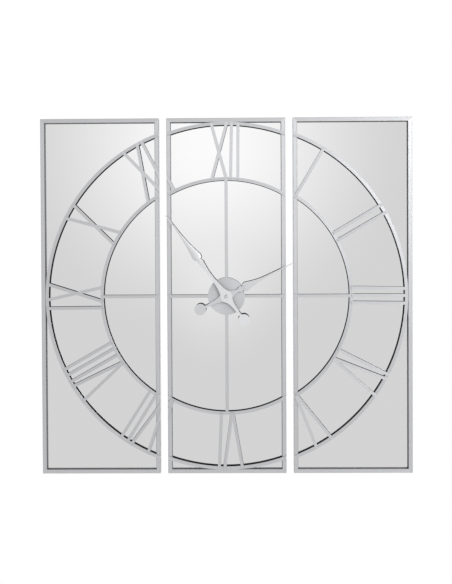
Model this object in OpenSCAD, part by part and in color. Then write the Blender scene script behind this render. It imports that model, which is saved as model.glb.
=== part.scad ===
// Triptych mirror clock: three framed mirror panels that hang side by side on a wall.
// A dial of flat metal strips crosses the panels.
// A quartz movement sits in a pocket behind the centre panel.
// Every piece is drawn lying face up: X to the right, Y up the wall and Z out of the wall.
// hang() then stands it up, so the clock faces -Y, its back lies on the plane y = 0,
// and the axis of the hands goes through the origin. All lengths are in millimetres.

/* [Panels] */
// Width of one panel
panel_w = 370; // [364:1:400]
// Height of one panel
panel_h = 1110; // [1000:5:1130]
// Clear gap between two panels on the wall
hung_gap = 24; // [10:1:60]
// Gap between the panels that the dial was drawn for
dial_gap = 1.5; // [0:0.5:10]

/* [Frame] */
// Width of the frame's front face
frame_face = 13; // [11:0.5:20]
// Thickness of the frame's side wall beside the mirror and the board
frame_wall = 4; // [3:0.5:6]
// Wall of the hollow front part of the frame
tube_wall = 1.6; // [1.2:0.1:2.5]
// Bevel along the front edges of the frame
frame_edge = 0.8; // [0.3:0.1:1.1]
// How far the mirror lies behind the front of the frame
mirror_recess = 12; // [8:0.5:20]
// Length of one arm of the corner keys inside the frame
key_arm = 32; // [20:1:60]

/* [Mirror and board] */
// Thickness of the mirror glass
mirror_t = 3; // [2:0.5:6]
// Thickness of the backing board
board_t = 22; // [21:0.5:30]
// Gap round the mirror and the board inside the frame
edge_gap = 0.5; // [0.2:0.1:0.8]

/* [Dial] */
// Radial width of the ring strips
ring_w = 10; // [8:0.5:16]
// Thickness of the ring strips
ring_t = 3; // [2:0.5:5]
// How far the outer ring laps over the inner edge of the frame
ring_lap = 1; // [0:0.2:3]
// Outer radius of the inner ring
inner_ring_r = 371; // [340:1:400]
// Width of the numeral and cross bars
bar_w = 9.5; // [6:0.5:12]
// Thickness of the numeral and cross bars
bar_t = 3; // [2:0.5:5]
// Usual distance between two strokes of a numeral
letter_step = 24; // [20:0.5:26]
// Diameter of the hub disc
hub_d = 116; // [90:1:160]
// Thickness of the hub disc
hub_t = 3; // [2:0.5:5]
// Outer diameter of the sleeve that carries the hub off the mirror
sleeve_d = 22; // [16:1:40]
// How far the cross bars reach under the hub
hub_lap = 28; // [10:1:32]

/* [Hands] */
// Length of the minute hand from the axis
minute_len = 314; // [260:1:340]
// Distance from the axis to the widest part of the minute hand
minute_shoulder = 157; // [145:1:180]
// Length of the curve that widens the minute hand to its shoulder
minute_flare = 72; // [50:1:90]
// Distance from the axis to the collar of the minute hand
minute_collar = 133; // [100:1:138]
// Length of the hour hand from the axis
hour_len = 228; // [180:1:250]
// Distance from the axis to the widest part of the hour hand
hour_shoulder = 71; // [68:1:100]
// Length of the curve that widens the hour hand to its shoulder
hour_flare = 48; // [36:1:70]
// Distance from the axis to the collar of the hour hand
hour_collar = 51; // [44:1:54]
// Thickness of the hands
hand_t = 1.5; // [1:0.1:2.5]
// Half width of a hand at its shoulder
leaf_half = 14; // [10:0.5:20]
// Half width of a hand at the neck behind the leaf
neck_half = 5.4; // [4:0.2:7.6]
// Half width of a hand at its collar
collar_half = 9.6; // [8:0.2:12]
// Half width of a hand at its slim waist
waist_half = 4.4; // [3:0.2:6]
// Diameter of the boss at the centre of a hand
boss_d = 38; // [28:1:44]
// Distance from the axis to the centre of the tail disc
tail_len = 91; // [70:1:110]
// Diameter of the tail disc
tail_disc_d = 36; // [24:1:44]
// Half width of the tail
tail_half = 3.8; // [2.5:0.1:5]
// Angle of the minute hand at rest, clockwise from twelve
minute_angle = 323.4; // [0:0.1:359]
// Angle of the hour hand at rest, clockwise from twelve
hour_angle = 63.6; // [0:0.1:359]
// Diameter of the cap nut on the hands
cap_d = 11; // [8:0.5:16]
// Height of the cap nut on the hands
cap_t = 3.2; // [2.5:0.1:5]

/* [Movement] */
// Width of the movement case
movement_w = 56; // [56:0.5:60]
// Height of the movement case above the axis of the hands
movement_up = 28; // [28:0.5:32]
// Height of the movement case below the axis of the hands
movement_down = 32; // [32:0.5:36]
// Depth of the movement case
movement_d = 16; // [15.8:0.1:16.6]
// Wall of the movement case
case_wall = 1.2; // [1:0.1:1.5]
// Board left in front of the movement
pocket_floor = 4; // [3:0.5:4.5]
// Room round the movement in its pocket
pocket_gap = 1; // [0.5:0.1:3]
// Outer diameter of the threaded bushing
bushing_d = 8; // [7.4:0.1:10]
// Diameter of the hour pipe
hour_pipe_d = 5; // [4.8:0.1:5.6]
// Diameter of the minute shaft
minute_shaft_d = 3.5; // [3:0.1:3.8]
// Width across the flats of the bushing nut
nut_flats = 12; // [11:0.5:17]
// Thickness of the bushing nut
nut_t = 3; // [2:0.2:5]
// How far the bushing stands out past its nut
bushing_past_nut = 7; // [0.5:0.5:10]
// Diameter of the battery
battery_d = 14.2; // [13.5:0.1:14.4]
// Length of the battery without its nub
battery_len = 49.5; // [48:0.1:50]
// Tooth size of the wheels that drive the hour hand
motion_module = 0.4; // [0.38:0.01:0.42]
// Tooth size of the centre wheel
centre_module = 0.3; // [0.29:0.01:0.31]
// Tooth size of the fast wheels
train_module = 0.25; // [0.24:0.01:0.26]
// Thickness of a toothed wheel
wheel_t = 0.8; // [0.6:0.05:0.9]
// Diameter of the setting knob
knob_d = 12; // [8:0.5:16]
// Diameter of the coil
coil_d = 6.6; // [5:0.1:6.8]

/* [Hanging] */
// Distance between the two hanger plates of a panel
hanger_spacing = 240; // [160:5:280]
// Distance from the top of a panel to its hanger plates
hanger_drop = 90; // [70:1:160]
// Width of a hanger plate
plate_w = 18; // [16:1:26]
// Length of a hanger plate
plate_len = 56; // [50:1:80]
// Thickness of a hanger plate
plate_t = 2; // [1.5:0.1:3]
// Diameter of the hole that takes the head of a wall screw
head_hole_d = 10; // [8:0.5:11]
// Width of the slot that the wall screw hangs in
neck_w = 5; // [4:0.5:6]
// Length of the slot above the head hole
neck_len = 12; // [8:0.5:14]
// Depth of the pocket behind the head hole
head_room = 9; // [6:0.5:12]

/* [Screws] */
// Shank diameter of the frame screws
frame_screw_d = 3; // [2.5:0.1:4]
// Head diameter of the frame screws
frame_screw_head = 6; // [5.5:0.1:8]
// Length of the frame screws
frame_screw_len = 18; // [14:1:30]
// Distance from a panel's end to its outer frame screws
frame_screw_inset = 120; // [60:5:200]
// Shank diameter of the hanger screws
hanger_screw_d = 3; // [2.5:0.1:3.5]
// Head diameter of the hanger screws
hanger_screw_head = 5.6; // [5:0.1:7]
// Length of the hanger screws
hanger_screw_len = 15; // [10:1:18]

/* [Hidden] */
$fn = 96;

// Clearances: a turning fit, a fixed fit, and the gap between things that pass each other
run_gap = 0.05;
fit_gap = 0.02;
pass_gap = 0.3;

// Heights above the wall, from the back of the board to the front of the hub
z_board = board_t;
z_mirror = z_board + mirror_t;
z_frame = z_mirror + mirror_recess;
z_ring = z_frame + ring_t;
z_bar = z_ring + bar_t;
z_hub = z_bar + hub_t;
z_nut = z_hub + nut_t;

// The dial is drawn on panels that nearly touch, and the side panels then move out to their places
panel_step = panel_w + dial_gap;
side_shift = hung_gap - dial_gap;

// The outer ring just laps over the frame's inner edge,
// at the rails or at the outer stiles, whichever is nearer
outer_ring_r = min(panel_h / 2, panel_step + panel_w / 2) - frame_face + ring_lap;
LEFT = -1;
CENTRE = 0;
RIGHT = 1;
PANELS = [LEFT, CENTRE, RIGHT];

module hang() rotate([90, 0, 0]) children();

// Moves what is drawn about a panel's own centre to the panel's place on the wall
module on_panel(side) translate([side * (panel_step + side_shift), 0, 0]) children();

// A strip of the dial: what the dial drawing puts on one panel, at that panel's place on the wall
module dial_strip(side, from_z, thickness)
  translate([side * side_shift, 0, from_z])
    linear_extrude(thickness)
      intersection() {
        translate([side * panel_step, 0]) square([panel_w, panel_h], center = true);
        children();
      }

// Countersunk screw, drawn point up with its head flush at z = 0
module countersunk(shank_d, head_d, length, grow = 0) {
  head_t = (head_d - shank_d) / 2;
  cylinder(h = head_t, r1 = head_d / 2 + grow, r2 = shank_d / 2 + grow);
  cylinder(h = length + grow, r = shank_d / 2 + grow);
}

// Frame: hollow front bar with a side wall behind it, cut to a mitre at both ends

module frame_profile()
  difference() {
    polygon([
      [0, 0],
      [frame_wall, 0],
      [frame_wall, z_mirror],
      [frame_face, z_mirror],
      [frame_face, z_frame - frame_edge],
      [frame_face - frame_edge, z_frame],
      [frame_edge, z_frame],
      [0, z_frame - frame_edge]
    ]);
    translate([tube_wall, z_mirror + tube_wall])
      square([frame_face - 2 * tube_wall, mirror_recess - 2 * tube_wall]);
  }

// One bar along Y, with its outer side on x = 0
module frame_bar(length)
  intersection() {
    rotate([90, 0, 0]) linear_extrude(length, center = true) frame_profile();
    linear_extrude(z_frame)
      polygon([
        [0, -length / 2],
        [frame_face, frame_face - length / 2],
        [frame_face, length / 2 - frame_face],
        [0, length / 2]
      ]);
  }

// The places of the frame screws along a stile and along a rail, counted from the middle
STILE_SCREWS = [for (k = [-1, 0, 1]) k * (panel_h / 2 - frame_screw_inset)];
RAIL_SCREWS = [0];

module bar_screws(places, grow = 0)
  for (y = places)
    translate([0, y, z_board / 2])
      rotate([0, 90, 0])
        countersunk(frame_screw_d, frame_screw_head, frame_screw_len, grow);

module drilled_bar(length, places)
  difference() {
    frame_bar(length);
    bar_screws(places, fit_gap);
  }

module both_stiles()
  for (flip = [0, 1])
    mirror([flip, 0, 0]) translate([-panel_w / 2, 0, 0]) children();

module both_rails()
  for (flip = [0, 1])
    mirror([0, flip, 0]) translate([0, panel_h / 2, 0]) rotate(-90) children();

module stiles(side)
  color("silver") hang() on_panel(side) both_stiles() drilled_bar(panel_h, STILE_SCREWS);

module rails(side)
  color("silver") hang() on_panel(side) both_rails() drilled_bar(panel_w, RAIL_SCREWS);

module left_stiles() stiles(LEFT);
module left_rails() rails(LEFT);
module centre_stiles() stiles(CENTRE);
module centre_rails() rails(CENTRE);
module right_stiles() stiles(RIGHT);
module right_rails() rails(RIGHT);

module frame_screws()
  color("gainsboro") hang()
    for (side = PANELS)
      on_panel(side) {
        both_stiles() bar_screws(STILE_SCREWS);
        both_rails() bar_screws(RAIL_SCREWS);
      }

// L-shaped key that joins two bars inside their hollow fronts
key_face = frame_face - 2 * (tube_wall + fit_gap);
key_t = mirror_recess - 2 * (tube_wall + fit_gap);

module corner_key()
  translate([tube_wall + fit_gap, tube_wall + fit_gap, z_mirror + tube_wall + fit_gap])
    linear_extrude(key_t) {
      square([key_face, key_arm]);
      square([key_arm, key_face]);
    }

module corner_keys()
  color("darkgray") hang()
    for (side = PANELS)
      on_panel(side)
        for (flip_x = [0, 1], flip_y = [0, 1])
          mirror([flip_x, 0, 0])
            mirror([0, flip_y, 0])
              translate([-panel_w / 2, -panel_h / 2, 0]) corner_key();

// Mirrors and backing boards

sheet_w = panel_w - 2 * (frame_wall + edge_gap);
sheet_h = panel_h - 2 * (frame_wall + edge_gap);
shaft_hole_d = bushing_d + 2 * pass_gap;

module sheet(thickness)
  linear_extrude(thickness) square([sheet_w, sheet_h], center = true);

module mirror_sheet(side)
  color("gainsboro") hang() on_panel(side) translate([0, 0, z_board]) sheet(mirror_t);

module left_mirror() mirror_sheet(LEFT);
module right_mirror() mirror_sheet(RIGHT);

module shaft_hole(from_z, to_z)
  translate([0, 0, from_z]) cylinder(h = to_z - from_z, d = shaft_hole_d);

module centre_mirror()
  color("gainsboro") hang()
    difference() {
      translate([0, 0, z_board]) sheet(mirror_t);
      shaft_hole(z_board - 1, z_mirror + 1);
    }

module at_hangers()
  for (k = [-1, 1])
    translate([k * hanger_spacing / 2, panel_h / 2 - hanger_drop, 0]) children();

// The wall screw's head goes in at the hole, and the panel then drops until the neck sits on the screw
plate_screw_y = plate_len / 2 - hanger_screw_head;
head_hole_y = -neck_len / 2;

module hanger_screw_pair(grow = 0)
  for (k = [-1, 1])
    translate([0, k * plate_screw_y, 0])
      countersunk(hanger_screw_d, hanger_screw_head, hanger_screw_len, grow);

// Room in the board for a hanger plate, the head of the wall screw and the plate's own screws
module hanger_room() {
  translate([0, 0, plate_t / 2])
    cube([plate_w + 2 * pass_gap, plate_len + 2 * pass_gap, plate_t], center = true);
  translate([0, 0, plate_t + head_room / 2])
    cube([head_hole_d + 2, neck_len + head_hole_d + 2, head_room], center = true);
  hanger_screw_pair(fit_gap);
}

module drilled_board()
  difference() {
    sheet(board_t);
    at_hangers() hanger_room();
    both_stiles() bar_screws(STILE_SCREWS, fit_gap);
    both_rails() bar_screws(RAIL_SCREWS, fit_gap);
  }

module board(side) color("burlywood") hang() on_panel(side) drilled_board();
module left_board() board(LEFT);
module right_board() board(RIGHT);

// Pocket in the back of the centre board for the movement
pocket_depth = board_t - pocket_floor;

module movement_block(gap, depth)
  translate([-movement_w / 2 - gap, -movement_down - gap, 0])
    cube([movement_w + 2 * gap, movement_up + movement_down + 2 * gap, depth]);

module centre_board()
  color("burlywood") hang()
    difference() {
      drilled_board();
      translate([0, 0, -1]) movement_block(pocket_gap, pocket_depth + 1);
      shaft_hole(0, z_board + 1);
    }

module hanger_plate()
  difference() {
    translate([0, 0, plate_t / 2]) cube([plate_w, plate_len, plate_t], center = true);
    translate([0, 0, -1]) {
      translate([0, head_hole_y, 0]) cylinder(h = plate_t + 2, d = head_hole_d);
      translate([-neck_w / 2, head_hole_y, 0]) cube([neck_w, neck_len, plate_t + 2]);
      translate([0, head_hole_y + neck_len, 0]) cylinder(h = plate_t + 2, d = neck_w);
    }
    hanger_screw_pair(fit_gap);
  }

module hanger_plates()
  color("lightgray") hang() for (side = PANELS) on_panel(side) at_hangers() hanger_plate();

module hanger_screws()
  color("gainsboro") hang() for (side = PANELS) on_panel(side) at_hangers() hanger_screw_pair();

// Rings

module ring(outer_r)
  difference() {
    circle(outer_r, $fn = 360);
    circle(outer_r - ring_w, $fn = 360);
  }

module ring_strip(side, outer_r)
  color("silver") hang() dial_strip(side, z_frame, ring_t) ring(outer_r);

module left_outer_ring() ring_strip(LEFT, outer_ring_r);
module centre_outer_ring() ring_strip(CENTRE, outer_ring_r);
module right_outer_ring() ring_strip(RIGHT, outer_ring_r);
module left_inner_ring() ring_strip(LEFT, inner_ring_r);
module centre_inner_ring() ring_strip(CENTRE, inner_ring_r);
module right_inner_ring() ring_strip(RIGHT, inner_ring_r);

// Numerals: straight strokes that lie on the front of both rings, with their feet towards the centre

// The strokes end just inside the outer edge of the outer ring, and share the inner ring with the cross bars
stroke_end_r = outer_ring_r - 1;
stroke_start_r = inner_ring_r - ring_w / 2 + 0.5;
cross_end_r = inner_ring_r - ring_w / 2 - 0.5;

// One and five o'clock fall on the edge of the right panel, so their numerals stand aside to keep on it
hour_turn = 30;
right_edge = panel_step - panel_w / 2;
aside = (right_edge - stroke_start_r * sin(hour_turn)) / cos(hour_turn) + bar_w / 2 + pass_gap;

function at_radius(across, r) = [across, sqrt(r * r - across * across)];

module bar_between(from, to) {
  run = to - from;
  translate(from)
    rotate(atan2(run.y, run.x))
      translate([0, -bar_w / 2]) square([norm(run), bar_w]);
}

// A stroke whose outer and inner ends lie so far clockwise of the hour line
module stroke_bar(outer, inner)
  bar_between(at_radius(inner, stroke_start_r), at_radius(outer, stroke_end_r));

// A numeral is a list of letters, and a letter is a list of strokes.
// A stroke is given by its outer and its inner end, in steps clockwise of the hour line.
// Each letter is one welded piece, cut where it meets the edge of a panel.
module numeral(hour, letters, start = 0)
  color("silver") hang()
    for (letter = letters, side = PANELS)
      dial_strip(side, z_ring, bar_t)
        rotate(-hour_turn * hour)
          for (stroke = letter)
            stroke_bar(start + stroke[0] * letter_step, start + stroke[1] * letter_step);

module numeral_one() numeral(1, [[[0.25, 0.15]]], aside);
module numeral_two() numeral(2, [[[-0.6, -0.55]], [[0.55, 0.55]]]);
module numeral_three() numeral(3, [[[-0.9, -1.05]], [[0, -0.05]], [[1, 0.9]]]);
module numeral_four() numeral(4, [[[-1.1, -0.7]], [[-0.5, 0.6], [2.1, 0.7]]]);
module numeral_five() numeral(5, [[[-1.35, -0.2], [1, -0.1]]], -aside);
module numeral_six() numeral(6, [[[1.05, 0.75]], [[-2, -0.75], [0.35, -0.65]]]);
module numeral_seven() numeral(7, [[[2, 1.7]], [[1, 0.75]], [[-2.1, -0.65], [0.4, -0.5]]]);
module numeral_eight() numeral(8, [[[1.9, 1.85]], [[1.05, 1]], [[0.1, 0.05]], [[-2.9, -1.2], [-0.55, -1.1]]]);
module numeral_nine() numeral(9, [[[-0.45, 1.2], [1.7, -0.6]], [[-1.5, -1.45]]]);
module numeral_ten() numeral(10, [[[-1.15, 0.8], [0.95, -0.95]]]);
module numeral_eleven() numeral(11, [[[-1.4, 0.4], [0.8, -1.85]], [[1.4, 1.05]]]);
module numeral_twelve() numeral(12, [[[-1.9, 0.05], [0.15, -1.85]], [[0.75, 0.6]], [[1.6, 1.55]]]);

// Cross bars from the hub to the inner ring

cross_start_r = hub_d / 2 - hub_lap;

module cross_outline(angle) rotate(angle) bar_between([cross_start_r, 0], [cross_end_r, 0]);

module centre_cross_bars()
  color("silver") hang()
    for (angle = [0, 90, 180, 270])
      dial_strip(CENTRE, z_ring, bar_t) cross_outline(angle);

module side_cross_bars()
  color("silver") hang() {
    dial_strip(LEFT, z_ring, bar_t) cross_outline(180);
    dial_strip(RIGHT, z_ring, bar_t) cross_outline(0);
  }

// Hub: a disc on the cross bars, held off the mirror by a sleeve and clamped by the bushing nut

module hub_disc()
  color("lightgray") hang()
    translate([0, 0, z_bar])
      difference() {
        cylinder(h = hub_t, d = hub_d);
        translate([0, 0, -1]) cylinder(h = hub_t + 2, d = bushing_d + 2 * run_gap);
      }

module hub_sleeve()
  color("darkgray") hang()
    translate([0, 0, z_mirror])
      difference() {
        cylinder(h = z_bar - z_mirror, d = sleeve_d);
        translate([0, 0, -1])
          cylinder(h = z_bar - z_mirror + 2, d = bushing_d + 2 * pass_gap);
      }

// Movement: heights inside the case are counted back from the inner face of its front

z_case_front = pocket_depth;
z_case_back = z_case_front - movement_d;
z_inside = z_case_front - case_wall;
z_cover = z_case_back + case_wall;
inside_depth = z_inside - z_cover;

layer_gap = 0.4;
layer_step = wheel_t + layer_gap;
pinion_lap = 0.15;
flange_t = 0.8;
plate_thick = 0.8;
hour_layer = flange_t + layer_gap;
minute_layer = hour_layer + layer_step + 0.2;
plate_layer = minute_layer + layer_step + 0.4;
centre_layer = plate_layer + plate_thick + layer_gap;
third_layer = centre_layer + layer_step;
fourth_layer = third_layer + layer_step;
fast_layer = fourth_layer + layer_step;
boss_layer = fast_layer + layer_step + 1.4;

// A height inside the case, so many millimetres behind the inner face of its front
function behind(depth) = z_inside - depth;

module slab(depth, thickness)
  translate([0, 0, behind(depth + thickness)]) linear_extrude(thickness) children();

module rod(depth, end_depth, d)
  translate([0, 0, behind(end_depth)]) cylinder(h = end_depth - depth, d = d);

// Tooth numbers
CANNON = 15;
MINUTE_WHEEL = 45;
MINUTE_PINION = 12;
HOUR_WHEEL = 48;
KNOB_PINION = 15;
CENTRE_WHEEL = 75;
THIRD_PINION = 10;
THIRD_WHEEL = 80;
FOURTH_PINION = 10;
FOURTH_WHEEL = 60;
FAST_PINION = 12;
FAST_WHEEL = 60;
ROTOR_PINION = 10;

// Tooth form: involute flanks at 20 degrees, with short wheel teeth and some play
pressure_angle = 20;
tooth_play = 0.05;
wheel_addendum = 0.6;
pinion_addendum = 0.9;
root_room = 0.25;

function involute(angle) = tan(angle) * 180 / PI - angle;

// Half the angle that a tooth fills at radius r
function half_tooth(teeth, m, r) =
  let (
    pitch_r = teeth * m / 2,
    base_r = pitch_r * cos(pressure_angle),
    at_pitch = 90 / teeth - tooth_play / 2 / pitch_r * 180 / PI
  )
  at_pitch + involute(pressure_angle) - (r > base_r ? involute(acos(base_r / r)) : 0);

function polar(r, angle) = [r * cos(angle), r * sin(angle)];

function gear_outline(teeth, m, addendum, mate_addendum) =
  let (
    pitch_r = teeth * m / 2,
    root_r = pitch_r - (mate_addendum + root_room) * m,
    tip_r = pitch_r + addendum * m,
    radii = [root_r, (root_r + pitch_r) / 2, pitch_r, tip_r]
  )
  [
    for (k = [0 : teeth - 1], way = [-1, 1], i = [0 : len(radii) - 1])
      let (r = radii[way < 0 ? i : len(radii) - 1 - i])
      polar(r, k * 360 / teeth + way * half_tooth(teeth, m, r))
  ];

module wheel_outline(teeth, m) polygon(gear_outline(teeth, m, wheel_addendum, pinion_addendum));
module pinion_outline(teeth, m) polygon(gear_outline(teeth, m, pinion_addendum, wheel_addendum));

module wheel(teeth, m, layer, turn) slab(layer, wheel_t) rotate(turn) wheel_outline(teeth, m);

module pinion(teeth, m, layer, turn)
  slab(layer - pinion_lap, wheel_t + 2 * pinion_lap) rotate(turn) pinion_outline(teeth, m);

// Turn of the second of two meshed gears, so that its tooth gap meets the first one's tooth
function meshed(way, first_turn, first_teeth, second_teeth) =
  way + 180 - 360 / second_teeth * (0.5 - (way - first_turn) * first_teeth / 360);

// Where the arbors stand, each one a direction and a centre distance from the last
minute_way = 55;
knob_way = -40;
third_way = 140;
fourth_way = 60;
fast_way = -10;
rotor_way = 0;
hands_at = [0, 0];
minute_at = hands_at + polar((CANNON + MINUTE_WHEEL) * motion_module / 2, minute_way);
knob_at = minute_at + polar((MINUTE_WHEEL + KNOB_PINION) * motion_module / 2, knob_way);
third_at = hands_at + polar((CENTRE_WHEEL + THIRD_PINION) * centre_module / 2, third_way);
fourth_at = third_at + polar((THIRD_WHEEL + FOURTH_PINION) * train_module / 2, fourth_way);
fast_at = fourth_at + polar((FOURTH_WHEEL + FAST_PINION) * train_module / 2, fast_way);
rotor_at = fast_at + polar((FAST_WHEEL + ROTOR_PINION) * train_module / 2, rotor_way);

// Turns of the gears at rest
minute_wheel_turn = meshed(minute_way, 0, CANNON, MINUTE_WHEEL);
hour_wheel_turn = meshed(minute_way + 180, minute_wheel_turn, MINUTE_PINION, HOUR_WHEEL);
knob_turn = meshed(knob_way, minute_wheel_turn, MINUTE_WHEEL, KNOB_PINION);
third_turn = meshed(third_way, 0, CENTRE_WHEEL, THIRD_PINION);
fourth_turn = meshed(fourth_way, third_turn, THIRD_WHEEL, FOURTH_PINION);
fast_turn = meshed(fast_way, fourth_turn, FOURTH_WHEEL, FAST_PINION);
rotor_turn = meshed(rotor_way, fast_turn, FAST_WHEEL, ROTOR_PINION);

// Arbors and pivots
arbor_d = 1.2;
pivot_d = 0.8;
pivot_len = 1.2;
post_d = 1.6;
minute_arbor_d = 2.4;
knob_arbor_d = 2;
stand_d = 2.4;

// Battery bay along the bottom of the case
bay_wall = 1;
bay_top = -movement_down + case_wall + battery_d + 2 * pass_gap;
bay_bottom = -movement_down + case_wall;
battery_y = bay_bottom + pass_gap + battery_d / 2;
battery_z = z_inside - pass_gap - battery_d / 2;
inside_w = movement_w - 2 * case_wall;
inside_top = movement_up - case_wall;
train_bottom = bay_top + bay_wall;

// The posts of the case carry the plate, and the posts of the plate carry the circuit board and the stator
corner_inset = 2.6;
coil_at_x = inside_w / 2 - coil_d / 2 - 1;
plate_right = coil_at_x - coil_d / 2 - pass_gap;
left_post_x = -inside_w / 2 + corner_inset;
right_post_x = plate_right - corner_inset;
low_post_y = train_bottom + corner_inset;
high_post_y = inside_top - corner_inset;
PLATE_POSTS = [
  [left_post_x, low_post_y],
  [left_post_x, high_post_y],
  [right_post_x, low_post_y],
  [right_post_x, high_post_y]
];
contact_t = 0.4;
board_thick = 1;
circuit_layer = fast_layer + wheel_t + 0.6;
circuit_left = -inside_w / 2 + contact_t;
circuit_strip_h = 6;
circuit_block_w = 14;
circuit_block_top = 7;
CIRCUIT_POSTS = [
  [left_post_x, low_post_y],
  [right_post_x, low_post_y],
  [left_post_x, circuit_block_top - corner_inset]
];

module posts(places, depth, end_depth)
  for (place = places)
    translate(place) rod(depth, end_depth, stand_d);

// Front shell with the bay wall, the posts, the post of the minute wheel and the knob's bearing
module movement_case()
  color("dimgray") hang() {
    difference() {
      translate([0, 0, z_cover]) movement_block(0, z_case_front - z_cover);
      translate([-inside_w / 2, bay_bottom, z_cover - 1])
        cube([inside_w, inside_top - bay_bottom, inside_depth + 1]);
      translate([0, 0, z_inside - 1]) cylinder(h = case_wall + 2, d = bushing_d + 2 * fit_gap);
    }
    difference() {
      translate([-inside_w / 2, bay_top, z_cover]) cube([inside_w, bay_wall, inside_depth]);
      contact_strips(pass_gap);
    }
    posts(PLATE_POSTS, 0, plate_layer);
    translate(minute_at) rod(0, plate_layer, post_d);
    translate(knob_at)
      difference() {
        rod(0, flange_t + layer_gap, 2 * knob_arbor_d);
        rod(0.2, plate_layer, post_d + 2 * run_gap);
      }
  }

// Plate between the motion work and the going train
module movement_plate()
  color("whitesmoke") hang() {
    difference() {
      slab(plate_layer, plate_thick)
        translate([-inside_w / 2 + pass_gap, train_bottom + pass_gap])
          square([plate_right + inside_w / 2 - pass_gap, inside_top - train_bottom - 2 * pass_gap]);
      translate(hands_at) rod(plate_layer - 1, plate_layer + 2, minute_arbor_d + 2 * run_gap);
      translate(knob_at) rod(plate_layer - 1, plate_layer + 2, knob_arbor_d + 2 * run_gap);
      for (place = [third_at, fourth_at, fast_at, rotor_at])
        translate(place) rod(plate_layer - 1, plate_layer + 2, pivot_d + 2 * run_gap);
    }
    posts(CIRCUIT_POSTS, plate_layer + plate_thick, circuit_layer);
    posts(STATOR_POSTS, plate_layer + plate_thick, stator_layer);
  }

// Back cover over the train, with a bearing boss for each arbor
cover_boss_d = 3;

module movement_cover()
  color("dimgray") hang()
    difference() {
      union() {
        slab(inside_depth, case_wall)
          translate([-movement_w / 2, bay_top]) square([movement_w, movement_up - bay_top]);
        for (place = [hands_at, third_at, fourth_at, fast_at, rotor_at])
          translate(place) rod(boss_layer, inside_depth, cover_boss_d);
      }
      for (place = [hands_at, third_at, fourth_at, fast_at, rotor_at])
        translate(place)
          rod(boss_layer - 1, boss_layer + pivot_len + pass_gap, pivot_d + 2 * run_gap);
      translate(knob_at) rod(boss_layer, inside_depth + case_wall + 1, knob_arbor_d + 2 * run_gap);
    }

// Bushing with a flange inside the case, and its nut on the front of the hub
bushing_end_z = z_nut + bushing_past_nut;
flange_d = bushing_d + 3;

module threaded_bushing()
  color("goldenrod") hang()
    difference() {
      union() {
        rod(0, flange_t, flange_d);
        translate([0, 0, behind(flange_t)]) cylinder(h = bushing_end_z - behind(flange_t), d = bushing_d);
      }
      translate([0, 0, behind(flange_t) - 1])
        cylinder(h = bushing_end_z - behind(flange_t) + 2, d = hour_pipe_d + 2 * run_gap);
    }

module bushing_nut()
  color("goldenrod") hang()
    translate([0, 0, z_hub])
      difference() {
        cylinder(h = nut_t, r = nut_flats / sqrt(3), $fn = 6);
        translate([0, 0, -1]) cylinder(h = nut_t + 2, d = bushing_d + 2 * fit_gap);
      }

// Battery with its nub to the right, and a contact strip at each end

nub_d = 5.5;
nub_len = 1;

module along_x(from_x, length, d)
  translate([from_x, battery_y, battery_z]) rotate([0, 90, 0]) cylinder(h = length, d = d);

module battery()
  color("darkgreen") hang() {
    along_x(-battery_len / 2, battery_len, battery_d);
    along_x(battery_len / 2, nub_len, nub_d);
  }

contact_pad_d = 4;
contact_front_z = battery_z + contact_pad_d / 2;
contact_back_z = behind(circuit_layer + board_thick);
contact_low = battery_y - contact_pad_d / 2;
contact_high = train_bottom + circuit_strip_h;

// Strips on the end walls, which go through the bay wall and lie on the ends of the circuit board
module contact_strips(grow = 0)
  for (flip = [0, 1])
    mirror([flip, 0, 0])
      translate([-inside_w / 2, contact_low, contact_back_z - grow])
        cube([contact_t + grow, contact_high - contact_low, contact_front_z - contact_back_z + 2 * grow]);

module battery_contacts()
  color("silver") hang() {
    contact_strips();
    along_x(-inside_w / 2, inside_w / 2 - battery_len / 2, contact_pad_d);
    along_x(battery_len / 2 + nub_len, inside_w / 2 - battery_len / 2 - nub_len, contact_pad_d);
  }

// Stator plate round the rotor's magnet, and the coil on its long leg

magnet_d = 3.8;
magnet_len = 2.8;
rotor_hole_d = magnet_d + 1;
stator_t = 1;
stator_layer = centre_layer + 1.4;
magnet_layer = stator_layer + (stator_t - magnet_len) / 2;
core_w = 3;
stator_bottom = knob_at.y + knob_arbor_d / 2 + 1.4;
stator_top = inside_top - 1.4;
stator_left = rotor_at.x - rotor_hole_d / 2 - 2.6;
stator_window_left = rotor_at.x + rotor_hole_d / 2 + 1.2;
core_left = coil_at_x - core_w / 2;
STATOR_POSTS = [
  [stator_left + stand_d / 2, stator_top - stand_d / 2],
  [stator_window_left - stand_d, stator_bottom + stand_d / 2]
];

module stator()
  color("slategray") hang()
    slab(stator_layer, stator_t)
      difference() {
        translate([stator_left, stator_bottom])
          square([core_left + core_w - stator_left, stator_top - stator_bottom]);
        translate([stator_window_left, stator_bottom + core_w])
          square([core_left - stator_window_left, stator_top - stator_bottom - 2 * core_w]);
        translate(rotor_at) circle(d = rotor_hole_d);
      }

coil_len = stator_top - stator_bottom - 2 * core_w - 2 * pass_gap;
coil_flange_t = 0.8;
coil_winding_d = coil_d - 1;

module coil()
  color("peru") hang()
    difference() {
      translate([coil_at_x, (stator_top + stator_bottom) / 2, behind(stator_layer + stator_t / 2)])
        rotate([90, 0, 0]) {
          cylinder(h = coil_len, d = coil_winding_d, center = true);
          for (flip = [0, 1])
            mirror([0, 0, flip])
              translate([0, 0, coil_len / 2 - coil_flange_t]) cylinder(h = coil_flange_t, d = coil_d);
        }
      slab(stator_layer - run_gap, stator_t + 2 * run_gap)
        translate([core_left - run_gap, stator_bottom])
          square([core_w + 2 * run_gap, stator_top - stator_bottom]);
    }

// Circuit board with its quartz can and chip, all soldered together

quartz_d = 2;
quartz_len = 6;
solder_t = 0.1;
chip_size = [4, 4, 1.2];

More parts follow.
